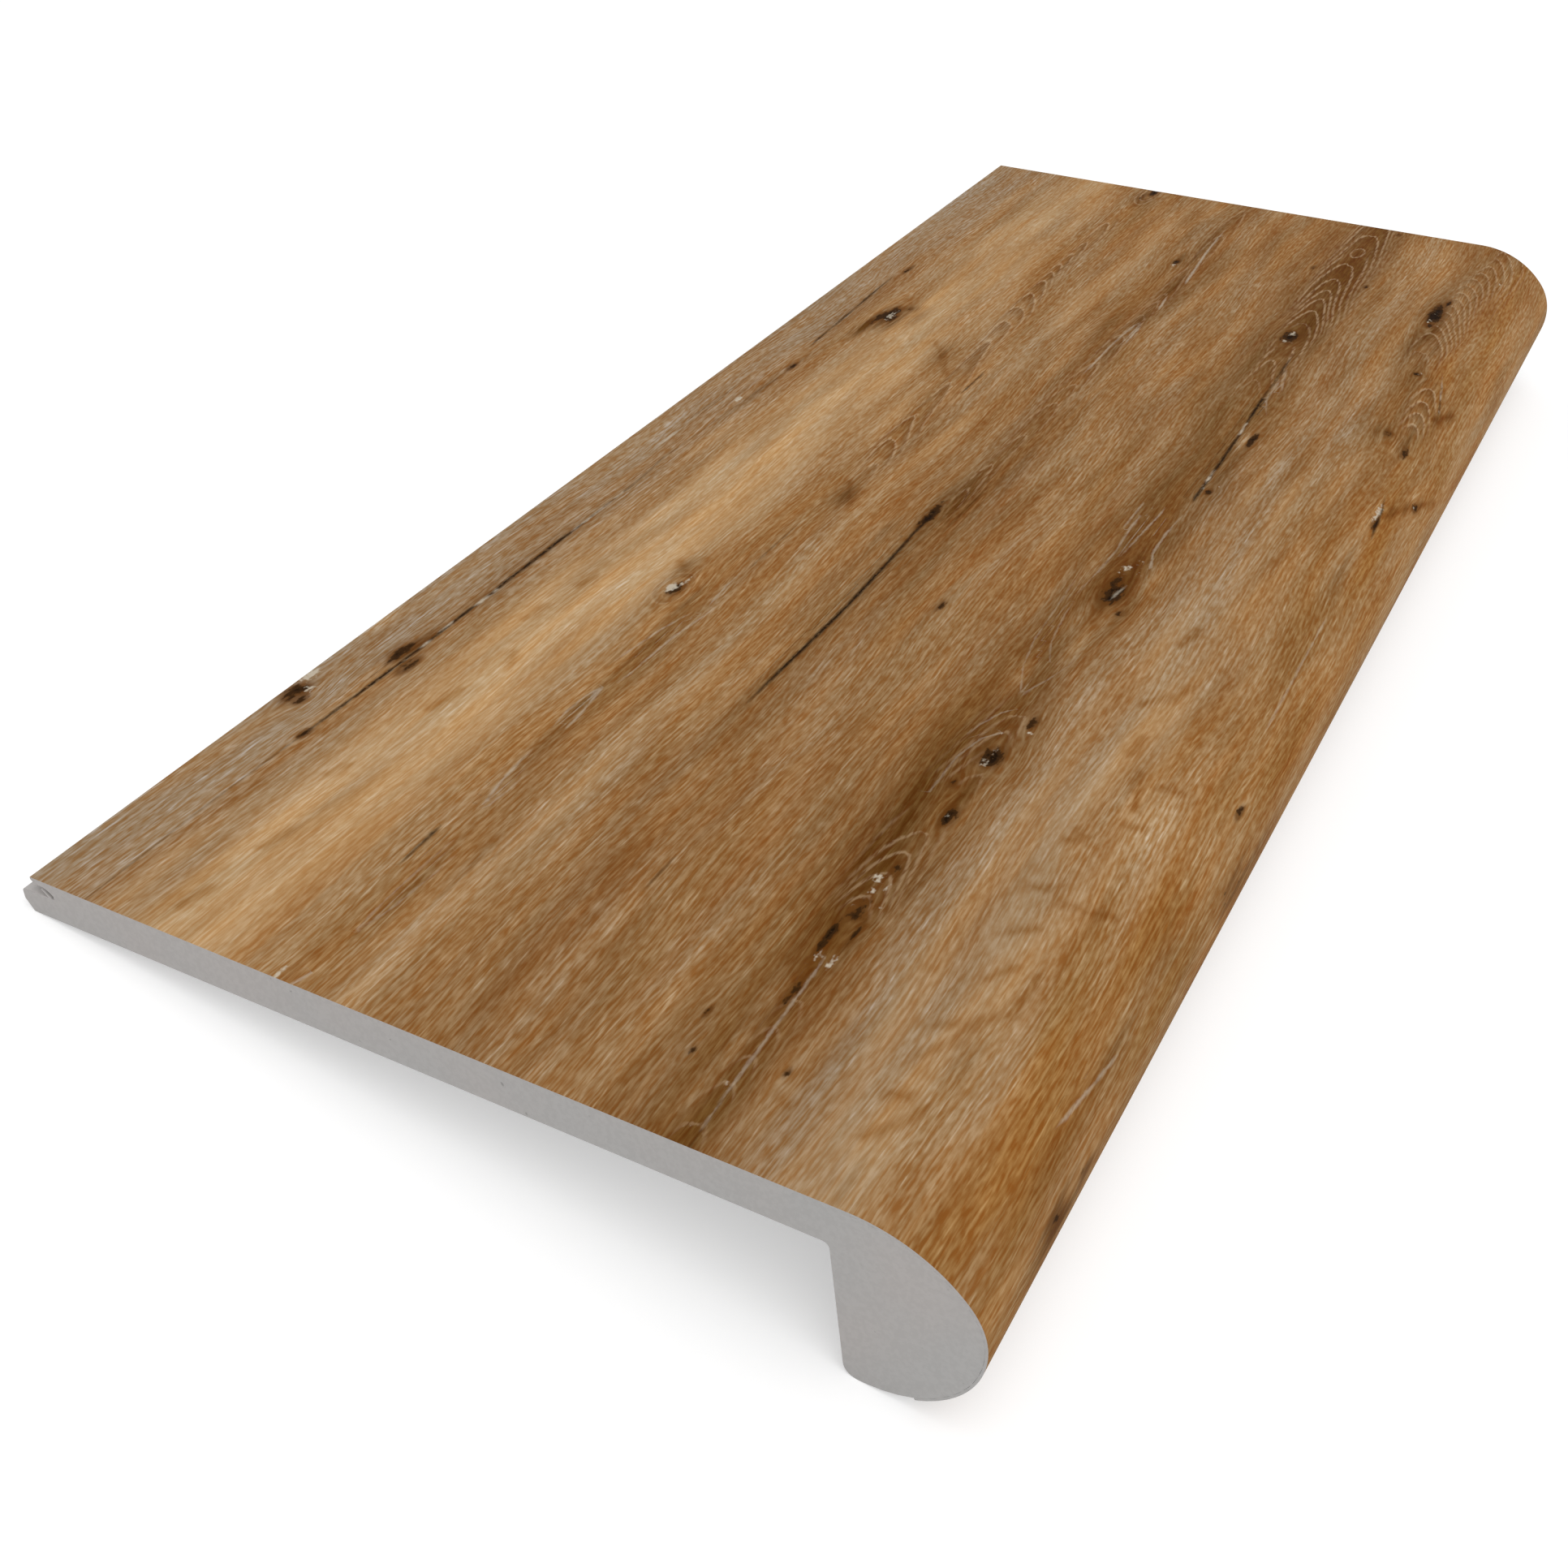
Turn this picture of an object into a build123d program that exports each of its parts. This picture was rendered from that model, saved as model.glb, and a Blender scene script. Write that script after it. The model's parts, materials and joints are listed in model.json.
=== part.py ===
from build123d import *

import os
from math import asin, atan2, cos, degrees, hypot, radians, sin, tan

# Whole nosing, with the tread held level, in millimetres
LENGTH = 269.0
WIDTH = 115.0
HEIGHT = 22.8
TREAD_THICKNESS = 5.1

# Wood-look film laid over the tread and wrapped round the nose
FILM_THICKNESS = 0.3
FILM_TURN_UNDER = 65.0

# Nose, in arcs that meet smoothly, with their radii measured on the film
CROWN_RADIUS = 16.0
CROWN_TURN = 50.0
FRONT_RADIUS = 9.0
NOSE_BACK_LEAN = 6.2
HEEL_RADIUS = 1.8
HEEL_FLAT = 0.85
INNER_RADIUS = 0.8

# Locking edge along the back of the tread, where a floor plank clicks in
LOWER_LIP_REACH = 1.8
LOWER_LIP_EDGE = 1.5
LOWER_LIP_FOOT = 0.8
LIP_CORNER_RADIUS = 0.5
GROOVE_FLOOR_DROP = 2.1
GROOVE_DEPTH = 3.0
UPPER_LIP_THICKNESS = 0.75
UPPER_LIP_UNDERCUT = 0.5
UPPER_LIP_FLAT = 0.5
UPPER_LIP_ROOT = 1.6

# Thin springy tab that leans up out of the groove's floor
TAB_THICKNESS = 0.28
TAB_ROOT_DEPTH = 2.45
TAB_TIP_DEPTH = 1.4
TAB_RISE = 0.98
TAB_SUNK = 0.2

# The section is drawn level: across from the front of the nose, up from its lowest line
CORE_TOP = HEIGHT - FILM_THICKNESS
TREAD_UNDERSIDE = HEIGHT - TREAD_THICKNESS
BACK_EDGE = WIDTH - LOWER_LIP_REACH
FRONT_TURN = 90.0 - CROWN_TURN
CROWN_DROP = CROWN_RADIUS * (1.0 - cos(radians(CROWN_TURN)))
FRONT_DROP = FRONT_RADIUS * cos(radians(CROWN_TURN))
UNDER_RADIUS = HEIGHT - CROWN_DROP - FRONT_DROP
CROWN_REACH = CROWN_RADIUS * sin(radians(CROWN_TURN))
FRONT_REACH = FRONT_RADIUS * (1.0 - sin(radians(CROWN_TURN)))
CROWN_START = CROWN_REACH + FRONT_REACH
HEEL_CENTRE = UNDER_RADIUS + FILM_THICKNESS + HEEL_FLAT
HEEL_CORNER = HEEL_CENTRE + HEEL_RADIUS * tan(radians(45.0 - NOSE_BACK_LEAN / 2))
NOSE_DEPTH = HEEL_CORNER + TREAD_UNDERSIDE * tan(radians(NOSE_BACK_LEAN))
LIP_FOOT = BACK_EDGE + LOWER_LIP_FOOT
GROOVE_FLOOR = HEIGHT - GROOVE_FLOOR_DROP
GROOVE_BACK = BACK_EDGE - GROOVE_DEPTH
LIP_UNDERSIDE = HEIGHT - UPPER_LIP_THICKNESS


def show_line(outward, turn_under):
    """Edges from the back edge over the nose to turn_under past its front, moved outward from the core."""
    level = CORE_TOP + outward
    film_inset = outward - FILM_THICKNESS
    tread = Line((BACK_EDGE, level), (CROWN_START, level))
    crown = JernArc(tread @ 1, tread % 1, CROWN_RADIUS + film_inset, CROWN_TURN)
    front = JernArc(crown @ 1, crown % 1, FRONT_RADIUS + film_inset, FRONT_TURN)
    under = JernArc(front @ 1, front % 1, UNDER_RADIUS + outward, turn_under)
    return [tread, crown, front, under]


def film_section():
    """Strip between the core's face and the film's face, from the back edge to under the nose."""
    face = show_line(FILM_THICKNESS, FILM_TURN_UNDER)
    bond = show_line(0.0, FILM_TURN_UNDER)
    back_cut = Line(bond[0] @ 0, face[0] @ 0)
    under_cut = Line(face[-1] @ 1, bond[-1] @ 1)
    return make_face([*face, under_cut, *bond, back_cut])


def locking_tab():
    """Thin blade in the groove, sunk a little into its floor."""
    root = Vector(BACK_EDGE - TAB_ROOT_DEPTH, GROOVE_FLOOR)
    tip = Vector(BACK_EDGE - TAB_TIP_DEPTH, GROOVE_FLOOR + TAB_RISE)
    along = (tip - root).normalized()
    half = Vector(-along.Y, along.X) * (TAB_THICKNESS / 2)
    sunk_root = root - along * TAB_SUNK
    return make_face(Polyline(sunk_root - half, tip - half, tip + half, sunk_root + half, close=True))


def core_section():
    """Solid grey profile: tread, nose and the grooved back edge."""
    face = show_line(0.0, 90.0)
    heel = (HEEL_CORNER, 0.0)
    inner_corner = (NOSE_DEPTH, TREAD_UNDERSIDE)
    lip_foot = (LIP_FOOT, TREAD_UNDERSIDE)
    lip_edge_low = (WIDTH, GROOVE_FLOOR - LOWER_LIP_EDGE)
    lip_edge_high = (WIDTH, GROOVE_FLOOR)
    underneath = Polyline(
        face[-1] @ 1,
        heel,
        inner_corner,
        lip_foot,
        lip_edge_low,
        lip_edge_high,
        (GROOVE_BACK, GROOVE_FLOOR),
        (GROOVE_BACK, HEIGHT - UPPER_LIP_ROOT),
    )
    lip_flat_start = (BACK_EDGE - UPPER_LIP_UNDERCUT, LIP_UNDERSIDE)
    lip_flat_end = (BACK_EDGE - UPPER_LIP_UNDERCUT - UPPER_LIP_FLAT, LIP_UNDERSIDE)
    lip_curve = TangentArc(lip_flat_end, underneath @ 1, tangent=(-1.0, 0.0))
    lip_tip = Polyline(lip_flat_end, lip_flat_start, face[0] @ 0)
    section = make_face([*face, *underneath.edges(), lip_curve, *lip_tip.edges()])
    for corner, radius in (
        (heel, HEEL_RADIUS),
        (inner_corner, INNER_RADIUS),
        (lip_edge_low, LIP_CORNER_RADIUS),
        (lip_edge_high, LIP_CORNER_RADIUS),
    ):
        section = fillet(section.vertices().sort_by_distance(corner)[0], radius)
    return section + locking_tab()


def rest_tilt():
    """Degrees that the unheld nosing leans back, from its heel's round to its lower lip's foot."""
    across = LIP_FOOT - HEEL_CENTRE
    up = TREAD_UNDERSIDE - HEEL_RADIUS
    return degrees(atan2(up, across) + asin(HEEL_RADIUS / hypot(across, up)))


def stock(section):
    """The section carried along the length, leaned back as the nosing lies on a floor."""
    level = extrude(Plane.YZ * section, LENGTH / 2, both=True)
    return Rot(X=-rest_tilt()) * level


core = stock(core_section())
decor_film = stock(film_section())

# The origin is on the floor, under the middle of the nosing
lying = core.bounding_box().add(decor_film.bounding_box())
to_floor = Pos(0.0, -(lying.min.Y + lying.max.Y) / 2, -lying.min.Z)

os.makedirs("parts", exist_ok=True)
export_step(to_floor * core, "parts/core.step")
export_step(to_floor * decor_film, "parts/decor_film.step")
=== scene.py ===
import json
from math import atan2, cos, pi, radians, sin

import bpy
import numpy as np
from mathutils import Euler, Matrix, Vector


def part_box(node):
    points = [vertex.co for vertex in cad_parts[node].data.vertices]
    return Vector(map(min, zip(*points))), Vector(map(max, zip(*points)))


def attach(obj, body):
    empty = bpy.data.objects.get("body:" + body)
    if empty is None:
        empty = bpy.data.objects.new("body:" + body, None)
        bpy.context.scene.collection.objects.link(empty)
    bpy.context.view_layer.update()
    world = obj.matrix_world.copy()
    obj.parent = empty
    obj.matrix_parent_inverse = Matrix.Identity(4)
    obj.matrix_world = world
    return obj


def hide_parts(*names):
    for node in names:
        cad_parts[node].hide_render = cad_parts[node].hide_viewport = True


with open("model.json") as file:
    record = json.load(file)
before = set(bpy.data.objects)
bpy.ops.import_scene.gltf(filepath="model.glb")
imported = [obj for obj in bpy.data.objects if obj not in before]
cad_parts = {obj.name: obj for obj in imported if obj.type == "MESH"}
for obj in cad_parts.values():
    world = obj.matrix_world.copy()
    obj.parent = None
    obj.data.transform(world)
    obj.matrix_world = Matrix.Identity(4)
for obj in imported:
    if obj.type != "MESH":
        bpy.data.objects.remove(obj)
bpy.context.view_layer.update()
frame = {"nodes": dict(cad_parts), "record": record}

MM = 0.001

# Film as it lies over the core, in millimetres, with the tread held level
LENGTH = 269.0
BACK_EDGE = 113.2
TREAD_TOP = 22.8
FILM_THICKNESS = 0.3
CROWN_RADIUS, CROWN_TURN = 16.0, radians(50.0)
FRONT_RADIUS, FRONT_TURN = 9.0, radians(40.0)
CROWN_DROP = CROWN_RADIUS * (1.0 - cos(CROWN_TURN))
FRONT_DROP = FRONT_RADIUS * cos(CROWN_TURN)
UNDER_RADIUS, UNDER_TURN = TREAD_TOP - CROWN_DROP - FRONT_DROP + FILM_THICKNESS, radians(65.0)
NOSE_REACH = CROWN_RADIUS * sin(CROWN_TURN) + FRONT_RADIUS * (1.0 - sin(CROWN_TURN))
TREAD_RUN = BACK_EDGE - NOSE_REACH
NOSE_ARCS = ((CROWN_RADIUS, CROWN_TURN), (FRONT_RADIUS, FRONT_TURN), (UNDER_RADIUS, UNDER_TURN))
FILM_RUN = TREAD_RUN + sum(radius * turn for radius, turn in NOSE_ARCS)
STEPS_ALONG = 340
STEPS_ACROSS = 276
SHARP_EDGE = radians(40.0)

# The record gives the way the underside faces, and so how far the nosing leans back at rest
underside = next(mount for mount in frame["record"]["mounts"] if mount["name"] == "tread_underside")
LEAN = atan2(-underside["axis"][1], -underside["axis"][2])

# How deep knots and cracks are pressed into the film, and how wide a pressed crack is
KNOT_PRESS = 0.06
CRACK_PRESS = 0.05
CRACK_PRESS_WIDTH = 0.45

# Unevenness of the grain lines, of the arches and of each tone: how much, length along and across, seed
GRAIN_SWAY = (0.5, 150.0, 90.0, 3)
GRAIN_RIPPLE = (0.08, 45.0, 25.0, 4)
ARCH_SWAY = (0.3, 30.0, 12.0, 31)
PALE_DRIFT = (0.10, 70.0, 9.0, 21)
GREY_DRIFT = (0.08, 80.0, 11.0, 22)
DARK_DRIFT = (0.10, 60.0, 7.0, 23)
GOLD_DRIFT = (0.15, 60.0, 10.0, 24)

# How strongly a knot draws the grain lines in, and how far round it, in its half lengths and half widths
KNOT_PULL = 0.7
KNOT_PULL_LENGTH = 3.2
KNOT_PULL_WIDTH = 3.0

# Arches: the power that bends them, how far past the last tip they fade out, and their gap there
ARCH_BEND = 2.2
ARCH_END = 4.0
ARCH_GAP = 9.0

# Rings: how much of a ring the first fades in over, and how many rings the last fades out over
RING_START = 0.5
RING_STOP = 1.5

# Least slope that a gap is taken from, and how far a second figure fades the first
LEAST_SLOPE = 0.02
FIGURE_FADE = 1.5

# Print marks: millimetres from the near end and, over the nose, from the back edge

# Knots: along, across, half length, half width, depth of colour
KNOTS = (
    (42.1, 1.3, 1.9, 1.0, 0.86),
    (41.0, 3.1, 1.3, 0.7, 0.8),
    (35.6, 8.3, 1.2, 0.5, 0.8),
    (55.6, 7.3, 2.9, 0.8, 0.8),
    (53.5, 10.0, 1.9, 0.75, 0.74),
    (86.0, 29.9, 1.6, 0.9, 0.9),
    (121.0, 51.5, 3.6, 0.6, 1.1),
    (157.5, 9.6, 1.6, 0.45, 0.9),
    (185.4, 14.4, 3.0, 1.0, 1.0),
    (183.0, 13.2, 3.4, 0.6, 0.75),
    (184.0, 15.6, 2.6, 0.4, 0.7),
    (189.2, 16.4, 1.0, 0.5, 0.5),
    (206.0, 8.1, 1.8, 0.35, 0.85),
    (233.2, 50.4, 1.3, 0.5, 0.95),
    (267.6, 34.0, 2.0, 0.7, 0.9),
    (264.5, 32.8, 3.0, 0.5, 0.5),
    (16.4, 75.2, 0.9, 0.4, 0.6),
    (11.0, 76.6, 0.9, 0.4, 0.5),
    (12.7, 86.2, 0.8, 0.4, 0.7),
    (22.8, 81.4, 2.0, 0.4, 0.8),
    (32.4, 80.6, 2.9, 0.45, 0.9),
    (33.8, 82.9, 2.8, 0.35, 0.75),
    (36.6, 81.6, 1.1, 0.8, 0.75),
    (38.6, 81.6, 1.2, 0.6, 0.7),
    (45.6, 81.9, 1.6, 0.6, 0.55),
    (57.0, 83.2, 1.6, 0.7, 1.1),
    (63.0, 81.0, 0.9, 0.4, 0.7),
    (69.9, 82.9, 2.0, 1.2, 1.0),
    (78.7, 84.5, 1.2, 0.5, 0.9),
    (98.8, 63.3, 1.7, 0.45, 0.65),
    (108.0, 84.8, 1.0, 0.5, 0.6),
    (112.6, 82.4, 2.6, 1.2, 1.0),
    (115.6, 81.6, 2.4, 0.6, 0.76),
    (146.9, 84.5, 0.9, 0.5, 0.9),
    (166.4, 85.1, 2.4, 0.5, 1.0),
    (180.0, 102.8, 1.0, 0.6, 0.7),
    (154.0, 108.2, 1.6, 0.4, 0.8),
    (177.2, 106.6, 1.7, 0.45, 0.85),
    (166.9, 112.4, 1.2, 0.5, 0.7),
    (208.6, 78.9, 2.3, 1.2, 1.0),
    (230.4, 98.7, 4.0, 1.0, 1.15),
    (225.4, 98.9, 1.6, 0.45, 0.8),
    (236.8, 99.6, 2.0, 0.4, 0.8),
    (204.0, 101.7, 0.7, 0.5, 1.0),
    (242.5, 73.6, 1.2, 0.3, 0.7),
    (237.5, 84.7, 0.9, 0.4, 0.7),
    (267.0, 83.6, 0.9, 0.5, 0.7),
    (80.0, 111.9, 1.5, 0.4, 0.8),
    (16.5, 117.5, 2.6, 1.0, 0.5),
    (24.0, 118.0, 2.0, 0.8, 0.45),
    (72.0, 117.0, 6.0, 1.8, 0.32),
)

# White filler rubbed into knots: along, across, half length, half width, how full
FILLER_SPOTS = (
    (46.0, 0.5, 1.5, 0.7, 1.3),
    (43.4, 2.5, 0.9, 0.5, 1.2),
    (86.0, 29.3, 1.2, 0.55, 1.5),
    (88.6, 30.3, 1.7, 0.25, 1.0),
    (142.2, 8.1, 0.9, 0.5, 1.3),
    (184.8, 14.7, 2.3, 0.6, 0.95),
    (178.4, 18.6, 2.8, 1.0, 0.4),
    (231.6, 50.5, 0.9, 0.5, 0.9),
    (29.0, 81.3, 0.9, 0.6, 0.8),
    (28.6, 82.7, 1.1, 0.5, 0.85),
    (43.3, 81.1, 1.0, 0.6, 1.0),
    (41.0, 81.4, 1.0, 0.6, 0.75),
    (42.2, 82.5, 0.8, 0.4, 0.75),
    (39.2, 82.3, 0.5, 0.35, 0.75),
    (38.8, 83.3, 0.5, 0.3, 0.7),
    (8.4, 81.8, 0.9, 0.5, 0.5),
    (12.2, 81.5, 0.5, 0.4, 0.45),
    (2.0, 81.3, 1.3, 0.35, 0.45),
    (38.4, 80.8, 0.8, 0.4, 0.6),
    (57.0, 82.9, 0.7, 0.4, 0.7),
    (68.5, 82.5, 0.8, 0.7, 0.7),
    (71.2, 82.6, 0.7, 0.5, 0.6),
    (75.4, 82.2, 0.7, 0.5, 0.7),
    (76.6, 85.0, 0.8, 0.4, 0.8),
    (120.0, 81.6, 0.9, 0.5, 1.05),
    (118.6, 81.3, 1.8, 0.7, 0.5),
    (122.4, 82.8, 1.1, 0.4, 0.65),
    (119.0, 83.6, 0.7, 0.3, 0.7),
    (147.6, 83.4, 0.8, 0.4, 0.8),
    (149.6, 85.2, 0.7, 0.4, 0.6),
    (156.9, 107.7, 3.2, 0.45, 1.1),
    (166.4, 112.2, 0.7, 0.4, 0.7),
    (206.7, 78.5, 0.8, 0.6, 0.8),
    (210.4, 78.9, 0.9, 0.5, 1.0),
    (227.0, 98.4, 2.0, 0.4, 0.65),
    (230.4, 98.7, 2.2, 0.4, 0.45),
    (204.8, 102.0, 0.7, 0.4, 0.6),
    (253.6, 105.7, 0.7, 0.4, 0.8),
    (232.8, 72.7, 0.8, 0.4, 0.7),
    (0.4, 34.0, 1.7, 0.3, 1.1),
)

# Brown flecks across the grain, each from one point to another: along, across, along, across
FLECKS = (
    (9.0, 96.3, 11.5, 98.6), (11.5, 98.6, 15.0, 99.6), (14.6, 95.8, 15.4, 97.8),
    (20.5, 96.2, 24.0, 98.6), (24.0, 98.6, 28.0, 99.4), (25.5, 96.4, 26.5, 97.6),
    (26.5, 98.8, 29.5, 100.6), (30.0, 101.8, 37.0, 102.2), (34.0, 97.8, 37.0, 99.6),
    (41.5, 96.6, 43.6, 99.4), (49.8, 96.2, 50.2, 97.8), (48.6, 100.4, 49.2, 103.2),
    (49.2, 103.2, 50.6, 105.4), (59.4, 96.6, 60.0, 98.0), (61.4, 96.6, 60.8, 98.4),
    (65.0, 101.5, 66.0, 103.5), (68.0, 101.3, 75.0, 99.4), (74.0, 102.5, 75.0, 104.5),
    (78.0, 97.0, 82.0, 97.3), (89.0, 94.8, 91.5, 96.6), (91.5, 97.6, 95.5, 98.9),
    (104.0, 94.5, 109.0, 95.6), (4.0, 17.8, 8.0, 18.6), (16.0, 18.6, 20.0, 19.4),
    (47.0, 18.4, 52.0, 19.2), (60.0, 21.0, 62.5, 19.8), (70.0, 16.6, 74.0, 17.0),
    (80.5, 18.2, 83.5, 18.7), (30.0, 16.2, 33.0, 17.2), (178.5, 26.0, 174.0, 29.4),
    (174.0, 29.4, 167.0, 33.0), (92.5, 26.8, 90.0, 29.6), (124.8, 36.6, 118.4, 40.0),
    (157.0, 108.6, 168.0, 112.6), (168.0, 112.6, 175.0, 115.6), (192.0, 107.4, 199.0, 110.4),
)
FLECK_WIDTH = 0.6

# Cracks along the grain, as points: along, across, depth of colour, share of white filler
CRACKS = (
    ((0, 8.1, 0.3, 0), (7, 8.0, 0.3, 0), (8, 8.0, 0.35, 0.5), (12, 8.0, 0.35, 0.5), (14, 7.9, 0.2, 0),
     (20, 7.9, 0.3, 0.6), (28, 8.1, 0.35, 0.6), (32, 8.2, 0.4, 0), (40, 8.4, 0.8, 0), (48, 8.6, 1.0, 0),
     (57, 8.8, 0.9, 0.6), (65, 8.7, 0.9, 0.6), (67, 8.7, 1.0, 0), (70, 8.8, 0.8, 0.8),
     (74, 8.9, 0.8, 0.8), (76, 8.7, 1.0, 0), (90, 8.7, 1.0, 0.1), (92, 8.8, 0.9, 0.6),
     (98, 8.8, 0.7, 0.8), (106, 8.8, 0.5, 0.8), (108, 8.8, 0.4, 0), (114, 8.6, 0.3, 0),
     (118, 8.2, 0.35, 0), (126, 8.5, 0.25, 0), (136, 8.7, 0.2, 0), (142, 9.0, 0.25, 0),
     (152, 9.6, 0.3, 0), (158, 9.8, 0.3, 0), (166, 10.0, 0.0, 0)),
    ((130, 5.0, 0.0, 0), (134, 4.8, 0.25, 0), (143, 5.1, 0.3, 0), (150, 5.3, 0.15, 0),
     (160, 5.4, 0.0, 0)),
    ((164, 8.5, 0.0, 0), (168, 8.3, 0.6, 0), (170, 8.1, 0.85, 0), (174, 8.0, 0.5, 0),
     (181, 7.8, 0.8, 0.1), (185, 7.6, 0.3, 0), (189, 7.4, 0.85, 0), (195, 7.2, 0.7, 0),
     (204, 7.0, 0.0, 0)),
    ((20, 33.9, 0.0, 0), (22, 33.8, 0.6, 0), (27, 33.7, 0.9, 0), (29, 33.7, 0.0, 0)),
    ((160, 38.6, 0.0, 0), (163, 38.6, 0.7, 0), (169, 38.6, 0.7, 0), (172, 38.5, 0.0, 0)),
    ((65, 51.9, 0.0, 0), (69, 51.9, 0.7, 0), (76, 52.0, 1.0, 0), (90, 52.3, 1.0, 0.15),
     (94, 52.3, 1.0, 0.15), (102, 52.1, 1.0, 0), (112, 51.8, 0.9, 0.3), (116, 51.6, 0.9, 0),
     (126, 51.4, 0.0, 0)),
    ((0, 82.8, 0.3, 0.5), (4, 82.6, 0.3, 0.6), (8, 82.4, 0.35, 1), (27, 81.9, 0.35, 1),
     (30, 81.8, 0.0, 1)),
    ((142, 83.4, 0.0, 0), (144, 83.3, 0.9, 0), (150, 83.2, 0.9, 0.7), (154, 83.1, 0.8, 0.7),
     (156, 83.1, 1.0, 0), (165, 82.8, 0.9, 0.2), (168, 82.7, 0.7, 0.7), (172, 82.5, 0.7, 0.6),
     (176, 82.3, 1.0, 0), (182, 82.1, 1.0, 0.3), (186, 82.0, 0.55, 0), (192, 81.8, 0.5, 0),
     (195, 81.7, 0.8, 0), (200, 81.6, 0.45, 0), (204, 81.6, 0.0, 0)),
    ((149, 108.9, 0.0, 0), (152, 108.5, 0.8, 0), (158, 108.1, 0.8, 0), (163, 107.2, 0.0, 0)),
    ((194, 108.2, 0.0, 0), (196, 107.9, 0.6, 0.6), (204, 106.2, 0.45, 0.8), (209, 105.0, 0.0, 1)),
    ((29, 59.7, 0.0, 0), (31, 59.7, 0.5, 0), (35, 59.7, 0.5, 0), (37, 59.7, 0.0, 0)),
    ((94, 36.1, 0.0, 0), (97, 36.0, 0.35, 0), (108, 36.0, 0.35, 0), (111, 36.0, 0.0, 0)),
)
CRACK_REACH = 1.4

# Limed lines along the grain and round the slender figures, as points: along, across, depth of colour
LIMED_LINES = (
    ((22, 111.3, 0.0), (24, 111.7, 0.45), (35, 113.3, 0.45), (37, 113.6, 0.0)),
    ((121, 5.4, 0.0), (123, 5.4, 0.55), (127, 5.4, 0.55), (129, 5.4, 0.0)),
    ((133, 6.1, 0.0), (136, 6.2, 0.4), (142, 6.3, 0.4), (145, 6.4, 0.0)),
    ((95, 109.6, 0.0), (98, 109.5, 0.3), (123, 109.0, 0.35), (126, 109.0, 0.0)),
    ((122, 79.6, 0.0), (126, 79.9, 0.3), (131, 80.1, 0.42), (137, 80.5, 0.42), (140, 80.4, 0.0)),
    ((120.5, 84.5, 0.0), (121.5, 84.4, 0.45), (126, 83.3, 0.4), (132, 83.1, 0.42), (136, 83.3, 0.35),
     (139, 83.6, 0.0)),
    ((108, 77.8, 0.0), (113, 78.2, 0.2), (118, 78.5, 0.3), (124, 78.6, 0.28), (128, 78.3, 0.38),
     (134, 78.1, 0.4), (136, 78.1, 0.0)),
    ((130, 77.2, 0.0), (132, 77.2, 0.35), (138, 77.2, 0.35), (140, 77.3, 0.0)),
    ((110.2, 82.5, 0.0), (112, 82.6, 0.5), (114, 82.9, 0.55), (116, 83.3, 0.0)),
    ((176, 84.5, 0.0), (180, 83.3, 0.3), (183, 82.6, 0.38), (189, 82.6, 0.35), (191, 82.5, 0.0)),
    ((185, 84.3, 0.0), (189, 83.4, 0.28), (194, 82.5, 0.28), (196, 82.2, 0.0)),
    ((0, 36.3, 0.45), (2.4, 36.9, 0.45), (3, 37.1, 0.0)),
    ((9, 36.8, 0.0), (10, 36.7, 0.3), (16, 36.3, 0.25), (25, 36.4, 0.25), (28, 36.6, 0.0)),
    ((9, 36.9, 0.0), (10, 37.1, 0.3), (15, 37.8, 0.25), (22, 38.3, 0.25), (26, 38.3, 0.0)),
    ((33, 36.0, 0.0), (34, 35.6, 0.5), (38, 34.8, 0.5), (43, 34.4, 0.45), (46, 34.3, 0.0)),
    ((33, 36.0, 0.0), (34, 36.2, 0.4), (38, 36.5, 0.3), (42, 36.5, 0.0)),
    ((50, 33.9, 0.0), (54, 33.4, 0.45), (58, 33.5, 0.45), (60.8, 34.2, 0.45), (61.2, 34.4, 0.0)),
    ((50, 35.4, 0.0), (53, 35.3, 0.45), (57, 34.9, 0.45), (60.8, 34.4, 0.45), (61.2, 34.4, 0.0)),
    ((66, 32.4, 0.0), (69, 32.7, 0.4), (76, 33.6, 0.4), (80, 34.6, 0.3), (82, 35.2, 0.0)),
    ((62, 35.4, 0.0), (65, 35.7, 0.4), (75, 36.0, 0.4), (82, 36.9, 0.35), (86, 37.2, 0.0)),
    ((83, 36.6, 0.0), (85, 36.0, 0.4), (90, 35.6, 0.4), (95, 35.5, 0.0)),
    ((83, 80.8, 0.0), (84.5, 80.5, 0.25), (90, 78.6, 0.25), (97, 77.4, 0.22), (112, 76.6, 0.18),
     (118, 76.4, 0.0)),
    ((83, 80.9, 0.0), (85, 81.2, 0.25), (89, 82.6, 0.25), (93, 83.6, 0.15), (100, 83.9, 0.0)),
    ((92, 81.5, 0.0), (93, 81.0, 0.22), (97, 79.6, 0.22), (104, 78.6, 0.2), (115, 78.2, 0.0)),
    ((60, 79.3, 0.2), (68, 79.2, 0.25), (73, 80.3, 0.3), (75.2, 82.0, 0.35), (75.6, 82.3, 0.0)),
    ((72, 78.3, 0.0), (75, 78.8, 0.22), (79, 80.2, 0.28), (80.5, 81.4, 0.25), (81, 82.0, 0.0)),
    ((176, 53.2, 0.0), (181, 53.3, 0.45), (190, 53.2, 0.45), (196, 53.4, 0.4), (201, 53.8, 0.45),
     (203, 54.3, 0.0)),
    ((192, 55.2, 0.0), (194, 55.0, 0.5), (200, 54.8, 0.55), (203, 54.4, 0.0)),
    ((209, 55.2, 0.0), (211, 55.0, 0.55), (214, 54.7, 0.55), (216, 54.6, 0.0)),
    ((223, 55.5, 0.0), (225, 55.2, 0.6), (232, 54.6, 0.6), (240, 53.9, 0.6), (250, 53.4, 0.4),
     (256, 53.3, 0.0)),
)

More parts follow.
